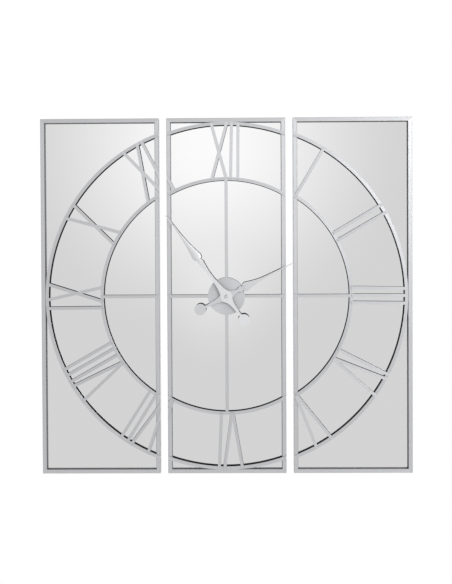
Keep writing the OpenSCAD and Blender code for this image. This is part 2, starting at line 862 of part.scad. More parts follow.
module circuit_board()
  color("seagreen") hang() {
    slab(circuit_layer, board_thick) {
      translate([circuit_left, train_bottom + pass_gap])
        square([-2 * circuit_left, circuit_strip_h]);
      translate([circuit_left, train_bottom + pass_gap])
        square([circuit_block_w, circuit_block_top - train_bottom - pass_gap]);
    }
    translate([left_post_x + 4, 0, behind(circuit_layer)]) {
      translate([0, low_post_y, 0]) linear_extrude(chip_size.z) square([chip_size.x, chip_size.y]);
      translate([0, circuit_block_top - 3, quartz_d / 2 - solder_t])
        rotate([0, 90, 0]) cylinder(h = quartz_len, d = quartz_d);
    }
  }

// Gears of the movement

// Minute arbor with its cannon pinion, a long shaft for the hand and a rear pivot
cannon_end = minute_layer + wheel_t + pinion_lap;

module minute_arbor()
  color("khaki") hang() {
    translate([0, 0, behind(cannon_end)])
      cylinder(h = shaft_end_z - behind(cannon_end), d = minute_shaft_d);
    pinion(CANNON, motion_module, minute_layer, 0);
    rod(cannon_end, boss_layer - 0.1, minute_arbor_d);
    rod(boss_layer - 0.1, boss_layer + pivot_len, pivot_d);
  }

module centre_wheel()
  color("khaki") hang()
    difference() {
      wheel(CENTRE_WHEEL, centre_module, centre_layer, 0);
      rod(centre_layer - 1, centre_layer + 2, minute_arbor_d + 2 * fit_gap);
    }

// Hour wheel on a pipe that carries the hour hand
module hour_wheel()
  color("ivory") hang()
    difference() {
      union() {
        wheel(HOUR_WHEEL, motion_module, hour_layer, hour_wheel_turn);
        translate([0, 0, behind(hour_layer + wheel_t)])
          cylinder(h = pipe_end_z - behind(hour_layer + wheel_t), d = hour_pipe_d);
      }
      translate([0, 0, behind(hour_layer + wheel_t) - 1])
        cylinder(h = pipe_end_z - behind(hour_layer + wheel_t) + 2, d = minute_shaft_d + 2 * run_gap);
    }

module minute_wheel()
  color("ivory") hang()
    translate(minute_at)
      difference() {
        union() {
          pinion(MINUTE_PINION, motion_module, hour_layer, minute_wheel_turn);
          rod(hour_layer, minute_layer, 2 * arbor_d);
          wheel(MINUTE_WHEEL, motion_module, minute_layer, minute_wheel_turn);
        }
        rod(0, plate_layer, post_d + 2 * run_gap);
      }

// Knob behind the cover that turns the minute wheel by hand
knob_t = 1.4;
knob_gap = 0.3;
knob_ribs = 24;
rib_d = 1;

module setting_knob()
  color("dimgray") hang()
    translate(knob_at) {
      rod(0.5, minute_layer, post_d);
      pinion(KNOB_PINION, motion_module, minute_layer, knob_turn);
      rod(minute_layer, inside_depth + case_wall + knob_gap, knob_arbor_d);
      rod(inside_depth + case_wall + knob_gap, inside_depth + case_wall + knob_gap + knob_t, knob_d);
      for (k = [1 : knob_ribs])
        translate(polar(knob_d / 2, k * 360 / knob_ribs))
          rod(inside_depth + case_wall + knob_gap, inside_depth + case_wall + knob_gap + knob_t, rib_d);
    }

// Arbor between the plate and the cover, with a pivot in each
module train_arbor() {
  rod(plate_layer, plate_layer + plate_thick + 0.1, pivot_d);
  rod(plate_layer + plate_thick + 0.1, boss_layer - 0.1, arbor_d);
  rod(boss_layer - 0.1, boss_layer + pivot_len, pivot_d);
}

module train_wheel(place, wheel_teeth, wheel_layer, pinion_teeth, pinion_m, pinion_layer, turn)
  hang()
    translate(place) {
      train_arbor();
      wheel(wheel_teeth, train_module, wheel_layer, turn);
      pinion(pinion_teeth, pinion_m, pinion_layer, turn);
    }

module third_wheel()
  color("ivory")
    train_wheel(third_at, THIRD_WHEEL, third_layer, THIRD_PINION, centre_module, centre_layer, third_turn);

module fourth_wheel()
  color("ivory")
    train_wheel(fourth_at, FOURTH_WHEEL, fourth_layer, FOURTH_PINION, train_module, third_layer, fourth_turn);

module intermediate_wheel()
  color("ivory")
    train_wheel(fast_at, FAST_WHEEL, fast_layer, FAST_PINION, train_module, fourth_layer, fast_turn);

module rotor()
  color("gray") hang()
    translate(rotor_at) {
      train_arbor();
      pinion(ROTOR_PINION, train_module, fast_layer, rotor_turn);
      rod(magnet_layer, magnet_layer + magnet_len, magnet_d);
    }

// Hands: flat leaves with a shoulder, a neck, a collar, a boss and a round tail

hand_gap = 1;
z_hour = bushing_end_z + hand_gap;
pipe_end_z = z_hour + hand_t + 0.2;
z_minute = pipe_end_z + hand_gap;
z_cap = z_minute + hand_t;
shaft_end_z = z_cap + cap_t - 1;
tip_half = 1.2;
curve_steps = 10;

function bezier(a, b, c, d) =
  [
    for (k = [0 : curve_steps])
      let (t = k / curve_steps, u = 1 - t)
      u * u * u * a + 3 * u * u * t * b + 3 * u * t * t * c + t * t * t * d
  ];

// Right-hand side of a hand from its tip to its tail, as points [half width, distance along the hand]
function hand_side(length, shoulder, flare, collar) =
  let (
    boss_r = boss_d / 2,
    neck = collar + 0.38 * (shoulder - collar),
    foot = shoulder - neck,
    waist = boss_r + 0.58 * (collar - boss_r),
    boss_edge = [0.69 * boss_r, 0.72 * boss_r],
    tail_neck = tail_len - tail_disc_d / 2
  )
  concat(
    bezier(
      [tip_half, length],
      [0.26 * leaf_half, shoulder + 1.26 * flare],
      [0.02 * leaf_half, shoulder + flare],
      [leaf_half, shoulder]
    ),
    bezier(
      [leaf_half, shoulder],
      [1.06 * leaf_half, shoulder - 0.35 * foot],
      [0.95 * leaf_half, neck + 0.12 * foot],
      [neck_half, neck]
    ),
    bezier(
      [collar_half, collar],
      [0.7 * collar_half, collar - 0.3 * (collar - waist)],
      [waist_half, waist + 0.3 * (collar - waist)],
      [waist_half, waist]
    ),
    bezier(
      [waist_half, waist],
      [waist_half, waist - 0.5 * (waist - boss_r)],
      [0.45 * boss_r, 1.1 * boss_r],
      boss_edge
    ),
    bezier(
      [boss_edge.x, -boss_edge.y],
      [0.45 * boss_r, -1.1 * boss_r],
      [tail_half, -1.5 * boss_r],
      [tail_half, -tail_neck]
    ),
    [[tail_half, -tail_len]]
  );

// A curve's last point is the next one's first, so points that repeat are left out
function without_repeats(points) =
  [for (k = [0 : len(points) - 1]) if (k == 0 || norm(points[k] - points[k - 1]) > 0.001) points[k]];

function mirrored(points) = [for (k = [len(points) - 1 : -1 : 0]) [-points[k].x, points[k].y]];

module hand_leaf(length, shoulder, flare, collar) {
  side = without_repeats(hand_side(length, shoulder, flare, collar));
  linear_extrude(hand_t) polygon(concat(side, mirrored(side)));
}

module hand(from_z, angle, hole_d, length, shoulder, flare, collar)
  hang()
    translate([0, 0, from_z])
      rotate(-angle)
        difference() {
          union() {
            hand_leaf(length, shoulder, flare, collar);
            cylinder(h = hand_t, d = boss_d);
            translate([0, -tail_len, 0]) cylinder(h = hand_t, d = tail_disc_d);
          }
          translate([0, 0, -1]) cylinder(h = hand_t + 2, d = hole_d);
        }

module hour_hand()
  color("lightgray")
    hand(z_hour, hour_angle, hour_pipe_d + 2 * fit_gap, hour_len, hour_shoulder, hour_flare, hour_collar);

module minute_hand()
  color("lightgray")
    hand(
      z_minute,
      minute_angle,
      minute_shaft_d + 2 * fit_gap,
      minute_len,
      minute_shoulder,
      minute_flare,
      minute_collar
    );

// Round cap that holds the minute hand on its shaft
cap_bevel = 1;

module cap_nut()
  color("silver") hang()
    translate([0, 0, z_cap])
      difference() {
        union() {
          cylinder(h = cap_t - cap_bevel, d = cap_d);
          translate([0, 0, cap_t - cap_bevel])
            cylinder(h = cap_bevel, d1 = cap_d, d2 = cap_d - 2 * cap_bevel);
        }
        translate([0, 0, -1])
          cylinder(h = shaft_end_z - z_cap + 1 + fit_gap, d = minute_shaft_d + 2 * fit_gap);
      }

left_stiles();
left_rails();
centre_stiles();
centre_rails();
right_stiles();
right_rails();
corner_keys();
frame_screws();
left_mirror();
centre_mirror();
right_mirror();
left_board();
centre_board();
right_board();
hanger_plates();
hanger_screws();
left_outer_ring();
centre_outer_ring();
right_outer_ring();
left_inner_ring();
centre_inner_ring();
right_inner_ring();
numeral_one();
numeral_two();
numeral_three();
numeral_four();
numeral_five();
numeral_six();
numeral_seven();
numeral_eight();
numeral_nine();
numeral_ten();
numeral_eleven();
numeral_twelve();
centre_cross_bars();
side_cross_bars();
hub_disc();
hub_sleeve();
movement_case();
movement_plate();
movement_cover();
threaded_bushing();
bushing_nut();
battery();
battery_contacts();
coil();
stator();
circuit_board();
minute_arbor();
centre_wheel();
hour_wheel();
minute_wheel();
setting_knob();
third_wheel();
fourth_wheel();
intermediate_wheel();
rotor();
hour_hand();
minute_hand();
cap_nut();
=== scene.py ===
# %% [markdown]
# # A mirror wall clock in three panels
# The clock is three framed mirrors that hang side by side, with a dial of flat metal strips across them.
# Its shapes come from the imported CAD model, which is loaded here as a fixed frame and never moved.
# This lesson adds what the solids lack: a camera, a studio, the finishes and the small turned details.

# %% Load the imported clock
import math

import bmesh
import bpy
from mathutils import Matrix, Vector


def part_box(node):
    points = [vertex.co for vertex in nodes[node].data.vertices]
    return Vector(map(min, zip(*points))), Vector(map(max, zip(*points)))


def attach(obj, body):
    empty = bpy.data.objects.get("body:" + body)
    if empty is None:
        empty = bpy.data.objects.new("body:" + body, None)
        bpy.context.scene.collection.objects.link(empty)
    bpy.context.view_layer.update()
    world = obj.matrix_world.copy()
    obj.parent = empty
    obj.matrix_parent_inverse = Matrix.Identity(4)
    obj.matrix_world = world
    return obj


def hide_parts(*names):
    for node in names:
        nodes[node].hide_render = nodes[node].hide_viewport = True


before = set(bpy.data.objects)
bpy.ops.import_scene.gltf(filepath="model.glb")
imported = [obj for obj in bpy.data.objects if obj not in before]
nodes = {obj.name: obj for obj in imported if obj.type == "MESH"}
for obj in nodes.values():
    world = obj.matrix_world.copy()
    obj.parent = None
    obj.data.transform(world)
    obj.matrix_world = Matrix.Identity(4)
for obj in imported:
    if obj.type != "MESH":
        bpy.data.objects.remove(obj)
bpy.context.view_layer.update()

SIDES = ("left", "centre", "right")
MILLIMETRE = 0.001

# %% [markdown]
# ## The camera
# The photograph is taken almost straight on, from about three metres,
# with the lens a little above and to the right of the hub.
# A camera could follow a target with a constraint, but a plain yaw, pitch and roll can be tuned to a pixel.
# The lens is written as a focal length in pixels, because the panel edges and the dial were fitted that way.
# The picture's centre lies a little below and to the right of the lens axis, which a small shift reproduces.

# %% Place the camera
PICTURE_HEIGHT = 584
FOCAL_PIXELS = 949.8
AXIS_LEFT, AXIS_UP = 4.0, 24.2
CAMERA_AT = Vector((0.0266, -3.0, 0.1389))
YAW = math.radians(0.776)
PITCH = math.radians(-0.974)
ROLL = math.radians(-0.296)

camera_data = bpy.data.cameras.new("camera")
camera_data.lens = FOCAL_PIXELS / PICTURE_HEIGHT * camera_data.sensor_width
camera_data.shift_x = AXIS_LEFT / PICTURE_HEIGHT
camera_data.shift_y = -AXIS_UP / PICTURE_HEIGHT
camera = bpy.data.objects.new("camera", camera_data)
bpy.context.scene.collection.objects.link(camera)
aim = Matrix.Rotation(YAW, 4, "Z") @ Matrix.Rotation(math.radians(90) + PITCH, 4, "X")
camera.matrix_world = Matrix.Translation(CAMERA_AT) @ aim @ Matrix.Rotation(ROLL, 4, "Z")
bpy.context.scene.camera = camera
bpy.context.scene.view_settings.view_transform = "Standard"
print("lens", round(camera_data.lens, 2), "mm at", tuple(round(v, 3) for v in CAMERA_AT))

# %% [markdown]
# ## Helpers for node trees
# Every finish below is a small tree of shader nodes.
# Each node could be added by hand in the editor,
# but a few helpers make the trees short enough to read as text.

# %% Helpers for node trees
def put(tree, socket, value):
    """Links a socket into another, or sets a plain value on it."""
    if isinstance(value, bpy.types.NodeSocket):
        tree.links.new(value, socket)
    else:
        socket.default_value = value


def calculate(tree, operation, *values):
    """A number worked out from sockets and plain numbers."""
    node = tree.nodes.new("ShaderNodeMath")
    node.operation = operation
    for socket, value in zip(node.inputs, values):
        put(tree, socket, value)
    return node.outputs[0]


def spread(tree, value, low, high, start=0.0, end=1.0, smooth=False):
    """Maps a number from one range to another, and holds it at the ends."""
    node = tree.nodes.new("ShaderNodeMapRange")
    node.interpolation_type = "SMOOTHSTEP" if smooth else "LINEAR"
    for name, number in zip(("From Min", "From Max", "To Min", "To Max"), (start, end, low, high)):
        put(tree, node.inputs[name], number)
    put(tree, node.inputs["Value"], value)
    return node.outputs["Result"]


def new_finish(name, **sockets):
    """A material with plain values on its shader, and the tree and the shader for more."""
    material = bpy.data.materials.new(name)
    material.use_nodes = True
    shader = material.node_tree.nodes["Principled BSDF"]
    for socket, value in sockets.items():
        shader.inputs[socket.replace("_", " ")].default_value = value
    return material, material.node_tree, shader


print("helpers ready")

# %% [markdown]
# ## The studio
# A mirror shows the room in front of it, so the room decides how this clock looks.
# A real studio could be built of cards and lamps, but a world that is painted by direction has no noise.
# Seen directly, or behind the clock, it is white. In front it is a soft glow above the camera
# that fades to grey, with a fainter, smaller glow below it, and the far sides are dim.

# %% Paint the room by direction
def from_angles(azimuth, elevation):
    """A direction in front of the clock, so many degrees to the right and so many upwards."""
    turn, rise = math.radians(azimuth), math.radians(elevation)
    return Vector((math.sin(turn) * math.cos(rise), -math.cos(turn) * math.cos(rise), math.sin(rise)))


GLOW, GLOW_RADIUS, GLOW_LEVEL = from_angles(-1.5, 6.5), math.radians(12.4), 0.987
LOW_GLOW, LOW_RADIUS, LOW_LEVEL = from_angles(-1.1, -3.1), math.radians(4.4), 0.075
WALL_LEVEL, SIDE_LEVEL = 0.666, 0.2
DIM_FROM, DIM_TO = math.radians(24), math.radians(75)
WHITE_FROM, WHITE_TO = math.radians(95), math.radians(125)
DIFFUSE_LEVEL = 0.72

world = bpy.data.worlds.new("studio")
world.use_nodes = True
bpy.context.scene.world = world
sky = world.node_tree
looking = sky.nodes.new("ShaderNodeTexCoord").outputs["Generated"]


def angle_from(axis):
    """The angle between a ray and an axis."""
    product = sky.nodes.new("ShaderNodeVectorMath")
    product.operation = "DOT_PRODUCT"
    put(sky, product.inputs[0], looking)
    put(sky, product.inputs[1], axis)
    return calculate(sky, "ARCCOSINE", product.outputs["Value"])


ahead = angle_from((0, -1, 0))
glow = spread(sky, angle_from(GLOW), GLOW_LEVEL, WALL_LEVEL, 0.0, GLOW_RADIUS, smooth=True)
dim = spread(sky, ahead, 1.0, SIDE_LEVEL, DIM_FROM, DIM_TO, smooth=True)
white = spread(sky, ahead, 0.0, 1.0, WHITE_FROM, WHITE_TO, smooth=True)
low_glow = spread(sky, angle_from(LOW_GLOW), LOW_LEVEL, 0.0, 0.0, LOW_RADIUS, smooth=True)
reflected = calculate(sky, "MULTIPLY_ADD", glow, dim, low_glow)
reflected = calculate(sky, "MAXIMUM", reflected, white)
rays = sky.nodes.new("ShaderNodeLightPath").outputs
in_metal = calculate(sky, "MAXIMUM", rays["Is Glossy Ray"], rays["Is Transmission Ray"])
elsewhere = calculate(sky, "MULTIPLY", calculate(sky, "SUBTRACT", 1.0, in_metal), DIFFUSE_LEVEL)
level = calculate(sky, "MULTIPLY_ADD", in_metal, reflected, elsewhere)
level = calculate(sky, "MAXIMUM", level, rays["Is Camera Ray"])
put(sky, sky.nodes["Background"].inputs["Color"], (1, 1, 1, 1))
put(sky, sky.nodes["Background"].inputs["Strength"], level)
print("studio painted with", len(sky.nodes), "nodes")

# %% [markdown]
# The clock hangs, so its floor is far below, out of the photograph,
# and short enough that no mirror shows it from the camera's place.
# One gentle lamp overhead gives the soft shadow that the floor needs.

# %% Lay the floor and hang a lamp
FLOOR_BELOW, FLOOR_HALF, FLOOR_FRONT, FLOOR_BACK = 1.05, 1.6, -1.8, 0.35
FLOOR_SPECKS, FLOOR_GREY, FLOOR_PALE = 60.0, 0.84, 0.88
floor_mesh = bpy.data.meshes.new("floor")
corners = [(-1, FLOOR_FRONT), (1, FLOOR_FRONT), (1, FLOOR_BACK), (-1, FLOOR_BACK)]
floor_mesh.from_pydata([(x * FLOOR_HALF, y, -FLOOR_BELOW) for x, y in corners], [], [(0, 1, 2, 3)])
floor = bpy.data.objects.new("floor", floor_mesh)
bpy.context.scene.collection.objects.link(floor)
pale_floor, floor_tree, floor_shader = new_finish("pale_floor", Roughness=0.9)
speck = floor_tree.nodes.new("ShaderNodeTexNoise")
put(floor_tree, speck.inputs["Scale"], FLOOR_SPECKS)
floor_tint = spread(floor_tree, speck.outputs["Fac"], FLOOR_GREY, FLOOR_PALE)
put(floor_tree, floor_shader.inputs["Base Color"], floor_tint)
floor_mesh.materials.append(pale_floor)

LAMP_AT, LAMP_SIZE, LAMP_WATTS = Vector((1.6, -1.6, 2.6)), 1.2, 18
lamp_data = bpy.data.lights.new("ceiling_lamp", "AREA")
lamp_data.size = LAMP_SIZE
lamp_data.energy = LAMP_WATTS
lamp = bpy.data.objects.new("ceiling_lamp", lamp_data)
lamp.location = LAMP_AT
lamp.rotation_euler = (-LAMP_AT).to_track_quat("-Z", "Y").to_euler()
bpy.context.scene.collection.objects.link(lamp)
print("floor", FLOOR_BELOW, "m below the hub, lamp of", LAMP_WATTS, "W")

# %% [markdown]
# The metal on the right flashes white, because a large soft light stands there, where no mirror shows it.
# It could be painted into the room as well, but a rough metal would find so small and bright a patch
# by chance only, and the picture would sparkle.
# A sun lamp with a wide disc is the same light, and Blender aims rays at a lamp.

# %% Stand a soft light on the right
SOFT_LIGHT, SOFT_WIDTH, SOFT_STRENGTH = from_angles(27, 12.5), math.radians(17.8), 0.64
soft_data = bpy.data.lights.new("soft_light", "SUN")
soft_data.angle = SOFT_WIDTH
soft_data.energy = SOFT_STRENGTH
soft_light = bpy.data.objects.new("soft_light", soft_data)
soft_light.rotation_euler = (-SOFT_LIGHT).to_track_quat("-Z", "Y").to_euler()
bpy.context.scene.collection.objects.link(soft_light)
print("soft light", round(math.degrees(SOFT_WIDTH), 1), "degrees wide")

# %% [markdown]
# ## Satin metal
# Frames, strips, hub and hands are silver metal, brushed along their length.
# A grain could be a picture, but stretched noise has no seams:
# it is squeezed across a bar and drawn out along it.
# One noise drives colour, roughness and a shallow bump, so that a scratch is the same scratch in all three.
# Scratches throw light sideways, so the shader is told which way they run and spreads its shine across them.

# %% Grain that follows a bar, a ring or a cross
GRAIN_ACROSS, GRAIN_ALONG = 1500, 30
RING_RADIUS = 0.3
SLIGHT_DEPTH = 0.1


def own_place(tree, kind="Object"):
    """Where a point lies on its piece, in metres, or as a share of its box if the kind is Generated."""
    return tree.nodes.new("ShaderNodeTexCoord").outputs[kind]


def parts_of(tree, vector):
    """The three numbers of a vector."""
    split = tree.nodes.new("ShaderNodeSeparateXYZ")
    put(tree, split.inputs[0], vector)
    return split.outputs


def grain_place(tree, grain, turn):
    """Where a point lies in the grain: across, into the metal and along.

    A bar's turn is clockwise from upright. A ring's grain is measured along a circle of RING_RADIUS.
    """
    upright = tree.nodes.new("ShaderNodeMapping")
    upright.vector_type = "TEXTURE"
    put(tree, upright.inputs["Vector"], own_place(tree))
    put(tree, upright.inputs["Rotation"], (0, math.radians(turn), 0))
    across, depth, along = parts_of(tree, upright.outputs[0])
    if grain == "ring":
        squares = [calculate(tree, "POWER", value, 2.0) for value in (across, along)]
        way_round = calculate(tree, "ARCTAN2", along, across)
        across = calculate(tree, "SQRT", calculate(tree, "ADD", *squares))
        along = calculate(tree, "MULTIPLY", way_round, RING_RADIUS)
    if grain == "cross":
        reach = [calculate(tree, "ABSOLUTE", value) for value in (across, along)]
        across = calculate(tree, "MINIMUM", *reach)
        along = calculate(tree, "MAXIMUM", *reach)
    joined = tree.nodes.new("ShaderNodeCombineXYZ")
    scales = (GRAIN_ACROSS, GRAIN_ACROSS, GRAIN_ALONG)
    for socket, value, scale in zip(joined.inputs, (across, depth, along), scales):
        put(tree, socket, calculate(tree, "MULTIPLY", value, scale))
    return joined.outputs[0]


def across_grain(tree, grain, turn):
    """The direction across the grain. A little depth in it keeps it off the normals of the walls."""
    towards = tree.nodes.new("ShaderNodeVectorTransform")
    towards.convert_from, towards.convert_to = "OBJECT", "WORLD"
    if grain == "bar":
        angle = math.radians(turn)
        put(tree, towards.inputs[0], (math.cos(angle), SLIGHT_DEPTH, -math.sin(angle)))
    if grain == "ring":
        put(tree, towards.inputs[0], own_place(tree))
    if grain == "cross":
        place = parts_of(tree, own_place(tree))
        reach = [calculate(tree, "ABSOLUTE", place[axis]) for axis in ("Z", "X")]
        joined = tree.nodes.new("ShaderNodeCombineXYZ")
        put(tree, joined.inputs["X"], calculate(tree, "GREATER_THAN", *reach))
        put(tree, joined.inputs["Y"], SLIGHT_DEPTH)
        put(tree, joined.inputs["Z"], calculate(tree, "LESS_THAN", *reach))
        put(tree, towards.inputs[0], joined.outputs[0])
    return towards.outputs[0]


def noise(tree, place, scale, detail=2.0):
    """Soft noise between nought and one."""
    node = tree.nodes.new("ShaderNodeTexNoise")
    put(tree, node.inputs["Vector"], place)
    put(tree, node.inputs["Scale"], scale)
    put(tree, node.inputs["Detail"], detail)
    return node.outputs["Fac"]


def mixed(tree, amount, low, high):
    """A colour between two others."""
    node = tree.nodes.new("ShaderNodeMix")
    node.data_type = "RGBA"
    put(tree, node.inputs[0], amount)
    for socket, colour in ((node.inputs[6], low), (node.inputs[7], high)):
        put(tree, socket, colour if isinstance(colour, bpy.types.NodeSocket) else (*colour, 1.0))
    return node.outputs[2]


def raised(tree, shader, height, strength, distance):
    """A bump on the shader."""
    node = tree.nodes.new("ShaderNodeBump")
    put(tree, node.inputs["Strength"], strength)
    put(tree, node.inputs["Distance"], distance)
    put(tree, node.inputs["Height"], height)
    put(tree, shader.inputs["Normal"], node.outputs["Normal"])


print("grain ready:", GRAIN_ACROSS, "lines a metre")

# %% [markdown]
# The photograph has thin dark lines beside the strips and inside the frames.
# They are the backs of the strips, seen in the mirror, and the inner walls of the frames round each mirror,
# all of them in shade. The cut edges of a strip are dull and shaded as well.
# All these faces could be given finishes of their own, but they can be found by their normals,
# and their shade is painted into the same finish as a dark colour.

# %% The satin finish
SILVER, SILVER_ROUGHNESS = (0.70, 0.705, 0.725), 0.315
# Painted shade: dark colours that stand in for the shade on a strip's cut edges and back and on a frame's
# walls round its mirror.
EDGE_SHADE, BACK_SHADE, WALL_SHADE = (0.22, 0.22, 0.225), (0.07, 0.07, 0.075), (0.28, 0.28, 0.285)
PAINTED_SHADE = {"edge": EDGE_SHADE, "back": BACK_SHADE, "wall_x": WALL_SHADE, "wall_z": WALL_SHADE}
DULLNESS = {"edge": 0.3, "back": 0.3, "wall_x": 0.75, "wall_z": 0.75}
SHADED_EDGES_AND_BACK = ("edge", "back")
WALL_AXIS = {"wall_x": 0, "wall_z": 2}
# A face is a front or a back when its normal has more than this share along the depth.
FRONT_OR_BACK = 0.5
# A frame's wall looks at its mirror when its place from the middle, times its normal, is below this.
BOX_MIDDLE, FACES_MIDDLE = 0.5, -0.3
BRUSHING = 0.3
SCRATCH_DARK, SCRATCH_BRIGHT = 0.94, 1.05
SCRATCH_STRENGTH, SCRATCH_DEPTH = 0.04, 0.0002
CLOUD_SCALE, CLOUD_SHARE = 16.0, 0.5
SHEEN_SPREAD = 0.07


def facing(tree):
    """The way that a face looks."""
    return parts_of(tree, tree.nodes.new("ShaderNodeNewGeometry").outputs["Normal"])


def painted_shade_faces(tree, where):
    """One on faces whose shade is painted dark: a strip's back, or its edges too, or a frame's walls round
    its mirror.
    """
    normal = facing(tree)
    if where == "back":
        return calculate(tree, "GREATER_THAN", normal["Y"], FRONT_OR_BACK)
    if where == "edge":
        return calculate(tree, "GREATER_THAN", normal["Y"], -FRONT_OR_BACK)
    axis = WALL_AXIS[where]
    box_place = parts_of(tree, own_place(tree, "Generated"))[axis]
    outwards = calculate(tree, "SUBTRACT", box_place, BOX_MIDDLE)
    looks_outwards = calculate(tree, "MULTIPLY", outwards, normal[axis])
    return calculate(tree, "LESS_THAN", looks_outwards, FACES_MIDDLE)


def satin_metal(name, colour, roughness, grain="bar", turn=0.0, dark=()):
    """Brushed metal, with its grain along a bar, round a ring or along a cross, and painted shade on its
    unlit faces.
    """
    material, tree, shader = new_finish(name, Metallic=1.0, Anisotropic=BRUSHING)
    put(tree, shader.inputs["Tangent"], across_grain(tree, grain, turn))
    lines = grain_place(tree, grain, turn)
    scratch = noise(tree, lines, scale=1.0, detail=3.0)
    cloud = noise(tree, own_place(tree), CLOUD_SCALE)
    darker = [c * SCRATCH_DARK for c in colour]
    brighter = [min(1.0, c * SCRATCH_BRIGHT) for c in colour]
    tint = mixed(tree, scratch, darker, brighter)
    of_scratch = calculate(tree, "MULTIPLY", scratch, 1.0 - CLOUD_SHARE)
    uneven = calculate(tree, "MULTIPLY_ADD", cloud, CLOUD_SHARE, of_scratch)
    dullness = spread(tree, uneven, roughness - SHEEN_SPREAD, roughness + SHEEN_SPREAD)
    # Unlit faces get a dark colour, which is painted shade, and a duller shine.
    for where in dark:
        unlit = painted_shade_faces(tree, where)
        tint = mixed(tree, unlit, tint, PAINTED_SHADE[where])
        unlit_dullness = calculate(tree, "MULTIPLY", unlit, DULLNESS[where])
        dullness = calculate(tree, "MAXIMUM", dullness, unlit_dullness)
    put(tree, shader.inputs["Base Color"], tint)
    put(tree, shader.inputs["Roughness"], dullness)
    raised(tree, shader, scratch, SCRATCH_STRENGTH, SCRATCH_DEPTH)
    return material


def dress(finish, *names):
    """Gives CAD nodes a finish."""
    for name in names:
        nodes[name].data.materials.clear()
        nodes[name].data.materials.append(finish)


# The walls of each frame round its mirror get painted shade.
for kind, turn, wall in (("stiles", 0, "wall_x"), ("rails", 90, "wall_z")):
    finish = satin_metal("satin_" + kind, SILVER, SILVER_ROUGHNESS, turn=turn, dark=[wall])
    dress(finish, *[f"{side}_{kind}" for side in SIDES])
print("frames dressed:", len(SIDES))

# %% [markdown]
# ## Dial strips and hub
# The rings are brushed round, the numerals along their strokes and the cross bars from the hub outwards.
# The numerals could share one finish, but each stands at its own hour,
# so each gets the grain of its own angle.

# %% Dress the dial
HUB_SILVER, HUB_ROUGHNESS = (0.69, 0.695, 0.715), 0.5
HOUR_STEP = 30
HOURS = ("one", "two", "three", "four", "five", "six", "seven", "eight", "nine", "ten", "eleven", "twelve")
RINGS = [f"{side}_{kind}_ring" for side in SIDES for kind in ("outer", "inner")]
CROSS_BARS = ["centre_cross_bars", "side_cross_bars"]
# The cut edges and backs of the strips and the hub get painted shade.
dress(satin_metal("satin_rings", SILVER, SILVER_ROUGHNESS, grain="ring", dark=SHADED_EDGES_AND_BACK), *RINGS)
for hour, name in enumerate(HOURS, start=1):
    finish = satin_metal("satin_" + name, SILVER, SILVER_ROUGHNESS, turn=HOUR_STEP * hour, dark=SHADED_EDGES_AND_BACK)
    dress(finish, "numeral_" + name)
dress(satin_metal("satin_cross", SILVER, SILVER_ROUGHNESS, grain="cross", dark=SHADED_EDGES_AND_BACK), *CROSS_BARS)
hub_finish = satin_metal("satin_hub", HUB_SILVER, HUB_ROUGHNESS, grain="ring", dark=SHADED_EDGES_AND_BACK)
dress(hub_finish, "hub_disc", "hub_sleeve")
print("strips dressed:", len(RINGS) + len(HOURS) + len(CROSS_BARS))

# %% [markdown]
# ## Soft edges
# Moulded and pressed pieces never have a razor edge, and a thin rounded edge is what catches the light.
# The CAD meshes stay as they are. A bevel modifier rounds them for the render,
# and weighted normals keep the flats flat. Before it, a weld joins the split corners of the imported mesh,
# and its flat triangles are dissolved into whole faces,
# because a bevel that runs into a fan of thin triangles tears.
# The strips of the dial are cut from sheet and keep their crisp edges.
# A hair-thin bevel would only sparkle there.

# %% A helper that rounds edges
WELD_WITHIN = 1e-6
FLAT_WITHIN, ROUND_BEYOND = math.radians(0.5), math.radians(40)
ROUND_STEPS = 2


def soften(width, *names):
    """Rounds the sharp edges of CAD nodes with modifiers."""
    for name in names:
        weld = nodes[name].modifiers.new("join_corners", "WELD")
        weld.merge_threshold = WELD_WITHIN
        flats = nodes[name].modifiers.new("join_flats", "DECIMATE")
        flats.decimate_type = "DISSOLVE"
        flats.angle_limit = FLAT_WITHIN
        bevel = nodes[name].modifiers.new("soft_edges", "BEVEL")
        bevel.width = width
        bevel.segments = ROUND_STEPS
        bevel.limit_method = "ANGLE"
        bevel.angle_limit = ROUND_BEYOND
        nodes[name].modifiers.new("flat_faces", "WEIGHTED_NORMAL")


print("edges past", round(math.degrees(ROUND_BEYOND)), "degrees can be rounded")

# %% [markdown]
# ## Hands
# The blades of the hands are slightly domed, so one side catches the light and the other stays grey.
# The solid hand is flat. It could be domed with a displace modifier,
# but a real ridge keeps its outline crisp. A copy is cut along its middle and across,
# and the middle line is lifted in proportion to the width beside it.
# Smooth shading then rounds the ridge, and the edges stay sharp. Boss, neck and tail are left flat.

# %% Dome the hands
CUT_STEP = 0.006
NEAR_CUT = CUT_STEP * 0.6
FACE_FLAT, SHARP_EDGE = 0.01, math.radians(30)
ON_LINE, PAST_COLLAR = 1e-5, 1e-4


def add_piece(name, mesh, body, slot, replaced, *finishes):
    """Makes a new piece from a bmesh, with its finishes, and ties it to the frame."""
    data = bpy.data.meshes.new(name)
    mesh.to_mesh(data)
    mesh.free()
    for finish in finishes:
        data.materials.append(finish)
    piece = bpy.data.objects.new(name, data)
    bpy.context.scene.collection.objects.link(piece)
    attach(piece, body)
    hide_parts(replaced)
    return piece


